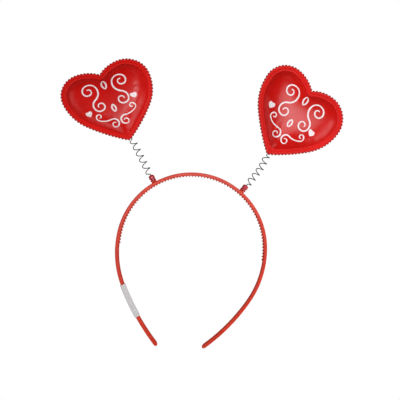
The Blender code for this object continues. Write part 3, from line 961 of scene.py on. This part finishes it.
def skin_points(side):
    """The weld line and a grid of points inside it."""
    loop = whole_heart(side, RIM_WIDTH)
    weld = evenly(loop, round(length_round(loop) / SKIN_STEP))
    edge = np.array([tuple(point) for point in weld])
    row_step = SKIN_STEP * sqrt(3) / 2
    low, high = edge.min(axis=0), edge.max(axis=0)
    inner = []
    for row in range(int((high[1] - low[1]) / row_step)):
        for column in range(int((high[0] - low[0]) / SKIN_STEP) + 1):
            x = low[0] + (column + 0.5 * (row % 2)) * SKIN_STEP
            inner.append((x, low[1] + row * row_step))
    return edge, np.array(inner)


def inside(points, loop):
    """Which points lie inside a closed loop, by counting the edges to their right."""
    odd = np.zeros(len(points), bool)
    ahead = np.roll(loop, -1, axis=0)
    for (x0, y0), (x1, y1) in zip(loop, ahead):
        if y0 == y1:
            continue
        crosses = (y0 > points[:, 1]) != (y1 > points[:, 1])
        where = x0 + (points[:, 1] - y0) / (y1 - y0) * (x1 - x0)
        odd ^= crosses & (points[:, 0] < where)
    return odd


def from_weld(points, edge):
    """Each point's distance from the weld line."""
    return np.sqrt(((points[:, None, :] - edge[None, :, :]) ** 2).sum(axis=2)).min(axis=1)


def relaxed(height, faces, free, rounds, push):
    """Sets each free point to the mean of its neighbours plus a push, over and over."""
    count = len(height)
    links = {tuple(sorted(pair)) for face in faces for pair in zip(face, [*face[1:], face[0]])}
    one, other = np.array(sorted(links)).T
    shares = np.bincount(one, minlength=count) + np.bincount(other, minlength=count)
    for _ in range(rounds):
        total = np.bincount(one, height[other], count) + np.bincount(other, height[one], count)
        height = (total / shares + push) * free
    return height


def make_skins(side):
    """Front and back skins that share the weld line, in the heart's own drawing."""
    edge, inner = skin_points(side)
    inner = inner[inside(inner, edge)]
    inner = inner[from_weld(inner, edge) > 0.55 * SKIN_STEP]
    flat = np.vstack([edge, inner])
    count = len(edge)
    rim = [(i, (i + 1) % count) for i in range(count)]
    points, _, faces, *_ = delaunay_2d_cdt([Vector(point) for point in flat], rim, [], 1, 1e-7)
    plan = np.array([tuple(point) for point in points])
    away = from_weld(plan, edge)
    steep = np.clip(away / SHOULDER, 0.0, 1.0)
    steep = (1.0 - (1.0 - steep) ** SHOULDER_POWER) ** (1.0 / SHOULDER_POWER)
    free = away > 1e-6
    steep = relaxed(steep, faces, free, SOFTEN_ROUNDS, 0.0)
    swell = relaxed(np.zeros(len(plan)), faces, free, CROWN_ROUNDS, 1.0)
    share = (1.0 - CROWN_SHARE) * steep / steep.max() + CROWN_SHARE * swell / swell.max()
    shape = bmesh.new()
    front = [shape.verts.new((x, y, s * HEART_FRONT)) for (x, y), s in zip(plan, share)]
    back = []
    for vert, (x, y), s in zip(front, plan, share):
        back.append(vert if s < 1e-6 else shape.verts.new((x, y, -s * HEART_BACK)))
    for face in faces:
        shape.faces.new([front[i] for i in face])
        shape.faces.new([back[i] for i in reversed(face)])
    return mesh_of(shape, f"{side}_puff", 180.0)


# %% [markdown]
# ## Blowing the skins up
# The real skins are soft, so the foam pushes them taut and they pucker a little along the weld. The cloth
# solver does the same: the weld is held, a pressure pushes from inside, and twenty frames are enough. The
# solver expects cloth of about a metre, so it works on a copy ten times as large. No point may move far,
# the back stays on the glass that it lies on, and one subdivision smooths the result.

# %% The cloth solver
SOLVER_SCALE = 10.0
SOLVER_FRAMES = 20
PRESSURE = 4.0
MOST_MOVED = 0.7 * MM
RIM_PLANE = HEART_BACK  # height of the weld over the glass


def places_of(mesh):
    flat = np.empty(len(mesh.vertices) * 3)
    mesh.vertices.foreach_get("co", flat)
    return flat.reshape(-1, 3)


def blow_up(puff):
    """Moves the puff's points to where the solver leaves them."""
    scene = bpy.context.scene
    before = places_of(puff.data)
    larger = puff.data.copy()
    larger.transform(Matrix.Scale(SOLVER_SCALE, 4))
    worker = bpy.data.objects.new("skins_in_the_solver", larger)
    scene.collection.objects.link(worker)
    weld = worker.vertex_groups.new(name="weld")
    weld.add([i for i, place in enumerate(before) if abs(place[2] - RIM_PLANE) < 0.01 * MM], 1.0, "REPLACE")
    cloth = worker.modifiers.new("skins", "CLOTH").settings
    cloth.vertex_group_mass = weld.name
    cloth.use_pressure = True
    cloth.uniform_pressure_force = PRESSURE
    cloth.effector_weights.gravity = 0.0
    for number in range(1, SOLVER_FRAMES + 1):
        scene.frame_set(number)
    seen = worker.evaluated_get(bpy.context.evaluated_depsgraph_get())
    moved = places_of(seen.data) / SOLVER_SCALE - before
    lengths = np.linalg.norm(moved, axis=1)
    print(puff.name, "moved by up to", round(float(lengths.max()) / MM, 2), "mm")
    moved *= (MOST_MOVED / (MOST_MOVED + lengths))[:, None]
    after = before + moved
    after[:, 2] = np.maximum(after[:, 2], 0.0)
    puff.data.vertices.foreach_set("co", after.ravel())
    bpy.data.objects.remove(worker)
    scene.frame_set(1)


def smoother(puff):
    """Applies one level of subdivision."""
    finer = puff.modifiers.new("finer", "SUBSURF")
    finer.levels = 1
    finer.render_levels = 1
    seen = puff.evaluated_get(bpy.context.evaluated_depsgraph_get())
    puff.data = bpy.data.meshes.new_from_object(seen)
    puff.modifiers.clear()


PUFFS = {}
for side in SIDES:
    skins = make_skins(side)
    skins.transform(heart_place(side))
    puff = new_object(f"{side}_heart_puff", skins, HEART_VINYL)
    blow_up(puff)
    smoother(puff)
    PUFFS[side] = puff
    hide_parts(f"{side}_heart")
    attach(puff, f"{side}_heart")

# %% [markdown]
# ## The printed ornament
# The fronts carry a white screen print: scrollwork between two small hearts. A print is a film of ink on
# the skin, so it is made as one. Each line of the ornament is drawn with arcs, for the right half only, and
# mirrored. The tree drops the line onto the puffed skin and gives it a flat, lens-shaped section, wider in
# the middle of a line than at its ends, as a brush leaves it.

# %% The lines of the ornament
INK_WIDTH = 1.5 * MM
INK_THICKNESS = 0.16 * MM
INK_LIFT = 0.03 * MM  # of the middle of the ink over the skin
CURL_SHRINK = 0.76  # radius of each quarter turn, as a share of the one before it

# One line: a point in millimetres from the middle and from the tip, a heading, and the arcs both ways from it
Scroll = namedtuple("Scroll", "x y heading ahead back")


def curl(radius, quarters, way):
    """A spiral of quarter turns; way is 1 to the right and -1 to the left."""
    return [(radius * CURL_SHRINK**i, 90.0 * way) for i in range(quarters)]


ORNAMENT = (
    Scroll(12.0, 44.0, 155.0, curl(8.8, 6, 1), curl(6.4, 5, 1)),
    Scroll(6.0, 22.5, -5.0, [(14.5, -45.0), *curl(2.9, 4, -1)], curl(4.4, 5, -1)),
    Scroll(0.0, 59.0, -42.0, [(5.6, 96.0)], []),
    Scroll(0.0, 35.0, -42.0, [(4.8, 96.0)], []),
)


def arc_points(scroll, heading, arcs):
    arcs = [(radius * MM, radians(sweep)) for radius, sweep in arcs]
    points = []
    for turn in turns((scroll.x * MM, scroll.y * MM), heading, arcs):
        points += [on_turn(turn, turn.heading - turn.sweep * i / 12) for i in range(13)]
    return points


def scroll_points(scroll):
    heading = radians(scroll.heading)
    back = arc_points(scroll, heading + pi, scroll.back)
    return back[::-1] + arc_points(scroll, heading, scroll.ahead)


def on_heart(side, x, y, height=0.0):
    """A place in the upright drawing, leaned, shortened and set as that side's heart is."""
    return heart_place(side) @ Vector((x + HEART_SKEW * y, y * CARRIES[side].tall, height))


# %% A tree that lays lines of ink on a skin
def ink_tree():
    tree, given = new_tree("ink_on_a_skin", Skin="object", Width="number", Thickness="number", Lift="number")
    line = node(tree, "GeometryNodeMeshToCurve", Mesh=given["Geometry"])["Curve"]
    fine = node(tree, "GeometryNodeResampleCurve", {"mode": "LENGTH"}, Curve=line, Length=0.5 * MM)["Curve"]
    skin = node(tree, "GeometryNodeObjectInfo", {"transform_space": "ORIGINAL"},
                Object=given["Skin"])["Geometry"]
    place = node(tree, "GeometryNodeInputPosition")["Position"]
    over = vector(tree, "ADD", place, (0.0, 0.0, 50.0 * MM))
    found = node(tree, "GeometryNodeRaycast", Target_Geometry=skin, Source_Position=over,
                 Ray_Direction=(0.0, 0.0, -1.0), Ray_Length=1.0)
    film = vector(tree, "ADD", found["Hit Position"], scaled(tree, found["Hit Normal"], given["Lift"]))
    laid = node(tree, "GeometryNodeSetPosition", Geometry=fine, Position=film)["Geometry"]
    flat = node(tree, "GeometryNodeSetCurveNormal", {"mode": "Z_UP"}, Curve=laid)["Curve"]
    along = node(tree, "GeometryNodeSplineParameter")["Factor"]
    swell = calc(tree, "POWER", calc(tree, "SINE", calc(tree, "MULTIPLY", along, pi)), 0.5)
    size = calc(tree, "MULTIPLY_ADD", swell, 0.42, 0.58)
    ring = node(tree, "GeometryNodeCurvePrimitiveCircle", Resolution=10, Radius=0.5)["Curve"]
    stretch = node(tree, "ShaderNodeCombineXYZ", X=given["Width"], Y=given["Thickness"], Z=1.0)["Vector"]
    section = node(tree, "GeometryNodeTransform", Geometry=ring, Scale=stretch)["Geometry"]
    ink = node(tree, "GeometryNodeCurveToMesh", Curve=flat, Profile_Curve=section, Scale=size, Fill_Caps=True)
    return end_tree(tree, ink["Mesh"], PRINT_INK)


INKING = ink_tree()
for side in SIDES:
    lines = []
    for scroll in ORNAMENT:
        for way in (1.0, -1.0):
            lines.append([on_heart(side, way * point.x, point.y) for point in scroll_points(scroll)])
    print_lines = apply_tree(INKING, f"{side}_print_scrolls", line_mesh("scroll_lines", lines), PRINT_INK,
                             Skin=PUFFS[side], Width=INK_WIDTH, Thickness=INK_THICKNESS, Lift=INK_LIFT)
    print_lines.data.shade_smooth()
    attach(print_lines, f"{side}_heart")

# %% The small solid hearts beside it
SMALL_WIDTH = 5.8 * MM
SMALL_SPOTS = ((-21.9 * MM, 34.4 * MM), (20.3 * MM, 37.0 * MM))
SMALL_RINGS = (1.0, 1.0, 0.7, 0.4, 0.1)  # sizes of the rings that make it, from the foot of its edge inwards


def small_heart(shape, side, spot, skin):
    """Adds a filled heart that lies on the skin; its first ring is sunk in it."""
    outline = whole_heart(side, 0.0)
    middle = Vector((0.0, sum(point.y for point in outline) / len(outline)))
    rings = []
    for number, size in enumerate(SMALL_RINGS):
        lift = -0.1 * MM if number == 0 else INK_LIFT + INK_THICKNESS / 2
        ring = []
        for point in evenly(outline, 60):
            point = (point - middle) * size * SMALL_WIDTH / HEART_WIDTH
            over = on_heart(side, spot[0] + point.x, spot[1] + point.y, 50.0 * MM)
            found = skin.ray_cast(over, Vector((0.0, 0.0, -1.0)))[0]
            ring.append(found + Vector((0.0, 0.0, lift)))
        rings.append(ring)
    loft(shape, rings)


for side in SIDES:
    skin = BVHTree.FromObject(PUFFS[side], bpy.context.evaluated_depsgraph_get())
    shape = bmesh.new()
    for spot in SMALL_SPOTS:
        small_heart(shape, side, spot, skin)
    print_hearts = new_object(f"{side}_print_hearts", mesh_of(shape, f"{side}_print_hearts", 30.0), PRINT_INK)
    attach(print_hearts, f"{side}_heart")

# %% [markdown]
# ## The paper sleeve
# A plain sleeve of stiff paper is wrapped once round the left leg, where a price would be written. It is
# blank. Rings round the leg follow it, a little clear of it, and the wall gets its thickness from a second,
# inner skin.

# %% Paper, and the sleeve round the leg
LABEL_START = 145.0 * MM
LABEL_LENGTH = 31.0 * MM
LABEL_THICKNESS = 0.35 * MM
LABEL_SECTIONS = 26


def label_paper():
    made, tree, shader = new_material("label_paper", (0.64, 0.62, 0.63), 0.62)
    mottle(tree, shader, 150.0, (0.62, 0.60, 0.61), (0.67, 0.65, 0.66), detail=3.0)
    bump(tree, shader, noise(tree, 500.0, 3.0), 0.01 * MM)
    return made


LABEL_PAPER = label_paper()


def sleeve_ring(station, clear):
    """A rounded ring round the left leg at a distance from its faces."""
    half = band_half_width("left", station) + clear
    bend = 0.35 * MM + clear
    left, right = -clear, BAND_THICKNESS + clear
    outline = rounding((left + bend, half - bend), bend, 180, 90)
    outline += rounding((right - bend, half - bend), bend, 90, 0)
    outline += rounding((right - bend, bend - half), bend, 0, -90)
    outline += rounding((left + bend, bend - half), bend, -90, -180)
    ring = []
    for inset, height in outline:
        point, _ = band_place("left", station, inset)
        ring.append(CROWN_CENTRE + Vector((point.x, point.y, MIDDLE + height)))
    return ring


stations = [LABEL_START + LABEL_LENGTH * i / (LABEL_SECTIONS - 1) for i in range(LABEL_SECTIONS)]
outer = [sleeve_ring(station, GAP + LABEL_THICKNESS) for station in stations]
inner = [sleeve_ring(station, GAP) for station in stations]
shape = bmesh.new()
loft(shape, outer + inner[::-1], capped=False, closed=True)
paper_sleeve = new_object("paper_sleeve", mesh_of(shape, "paper_sleeve", 20.0), LABEL_PAPER)
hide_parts("label_sleeve")
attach(paper_sleeve, "headband")

# %% [markdown]
# ## Floor, light and camera
# The bopper lies on a sheet of clear glass, a hand's breadth over a plain white floor, and the camera looks
# straight down. That is how a catalogue picture gets an even white with no shadows. The glass itself would
# not be seen, so it is left out. The floor shines with exactly the strength of white, and the world's lower
# half stands in for the light that it throws up at the bopper. A long soft box hangs overhead, at a slant,
# so that the flat edge of the band takes its sheen, and a smaller one lays a dull sheen on the right heart.
# Weaker boxes stand around.

# %% White floor and backdrop
def floor_white():
    made, tree, shader = new_material("floor_white", (0.0, 0.0, 0.0), 1.0, Specular_IOR_Level=0.0,
                                      Emission_Strength=1.0)
    shader.inputs["Emission Color"].default_value = (1.0, 1.0, 1.0, 1.0)
    made.cycles.emission_sampling = "NONE"  # it lights nothing, so no samples are spent on it
    return made


FLOOR_DROP = 90.0 * MM  # under the glass, so that a heart that nods down still hangs clear
FLOOR_HALF = 3.0  # metres
WALL_RADIUS = 2.8
WALL_HEIGHT = 3.0


def wall_ring(height):
    angles = [2 * pi * i / LATHE_SIDES for i in range(LATHE_SIDES)]
    return [Vector((WALL_RADIUS * cos(angle), WALL_RADIUS * sin(angle), height)) for angle in angles]


shape = bmesh.new()
bmesh.ops.create_grid(shape, x_segments=1, y_segments=1, size=FLOOR_HALF)
white_floor = new_object("white_floor", mesh_of(shape, "white_floor"), floor_white())
shape = bmesh.new()
loft(shape, [wall_ring(0.0), wall_ring(WALL_HEIGHT)], capped=False)
backdrop = new_object("backdrop", mesh_of(shape, "backdrop"), white_floor.data.materials[0])
for piece in (white_floor, backdrop):
    piece.location.z = -FLOOR_DROP
    piece.visible_diffuse = False
    piece.visible_glossy = False
    piece.visible_shadow = False
    piece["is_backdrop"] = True

# %% Lights
def softbox(name, place, size, power, turned=None):
    """A soft box that looks at the middle, or straight down and turned by an angle."""
    lamp = bpy.data.lights.new(name, "AREA")
    lamp.shape = "RECTANGLE"
    lamp.size, lamp.size_y = size
    lamp.energy = power
    made = bpy.data.objects.new(name, lamp)
    made.location = place
    if turned is None:
        made.rotation_euler = (-Vector(place)).to_track_quat("-Z", "Y").to_euler()
    else:
        made.rotation_euler = (0.0, 0.0, radians(turned))
    bpy.context.scene.collection.objects.link(made)
    return made


softbox("long_light", (-0.03, 0.02, 0.75), (0.42, 0.10), 1.75, turned=41.0)
softbox("heart_light", (0.155, 0.170, 0.45), (0.20, 0.08), 0.75, turned=-50.0)
softbox("right_light", (0.50, -0.10, 0.26), (0.50, 0.36), 1.6)
softbox("left_light", (-0.60, 0.0, 0.26), (0.50, 0.36), 0.6)
softbox("low_light", (-0.30, -0.65, 0.35), (0.40, 0.25), 1.2)
softbox("far_light", (0.15, 0.60, 0.40), (0.40, 0.20), 0.2)

# %% The light of the room, much stronger from below
ROOM_LIGHT = 0.08  # from above, off the walls and the ceiling
FLOOR_LIGHT = 0.90  # from below, off the white floor
HORIZON = 0.02  # how far over and under the horizon the two run together
sky = bpy.context.scene.world or bpy.data.worlds.new("sky")
bpy.context.scene.world = sky
sky.use_nodes = True
background = sky.node_tree.nodes["Background"]
background.inputs["Color"].default_value = (1.0, 1.0, 1.0, 1.0)
way = node(sky.node_tree, "ShaderNodeTexCoord")["Generated"]
rise = node(sky.node_tree, "ShaderNodeSeparateXYZ", Vector=way)["Z"]
shine = node(sky.node_tree, "ShaderNodeMapRange", Value=rise, From_Min=-HORIZON, From_Max=HORIZON,
             To_Min=FLOOR_LIGHT, To_Max=ROOM_LIGHT)["Result"]
feed(sky.node_tree, background.inputs["Strength"], shine)
sky.cycles_visibility.glossy = False
bpy.context.scene.view_settings.view_transform = "Standard"

# %% Camera
CAMERA_POINT = (8.3 * MM, 2.3 * MM)  # straight below the camera
CAMERA_HEIGHT = 437.0 * MM
CAMERA_ROLL = 7.0  # degrees
LENS = 44.35  # for a sensor 36 wide, both in millimetres
lens = bpy.data.cameras.new("camera")
lens.lens = LENS
lens.sensor_width = 36.0
lens.clip_start = 0.01
camera = bpy.data.objects.new("camera", lens)
camera.location = (*CAMERA_POINT, CAMERA_HEIGHT)
camera.rotation_euler = (0.0, 0.0, radians(CAMERA_ROLL))
bpy.context.scene.collection.objects.link(camera)
bpy.context.scene.camera = camera

# %% Sizes and the end
dressed_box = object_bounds()
for name, (low, high) in (("model", model_box), ("dressed", dressed_box)):
    print(name, [round(value / MM, 1) for value in high - low], "mm")
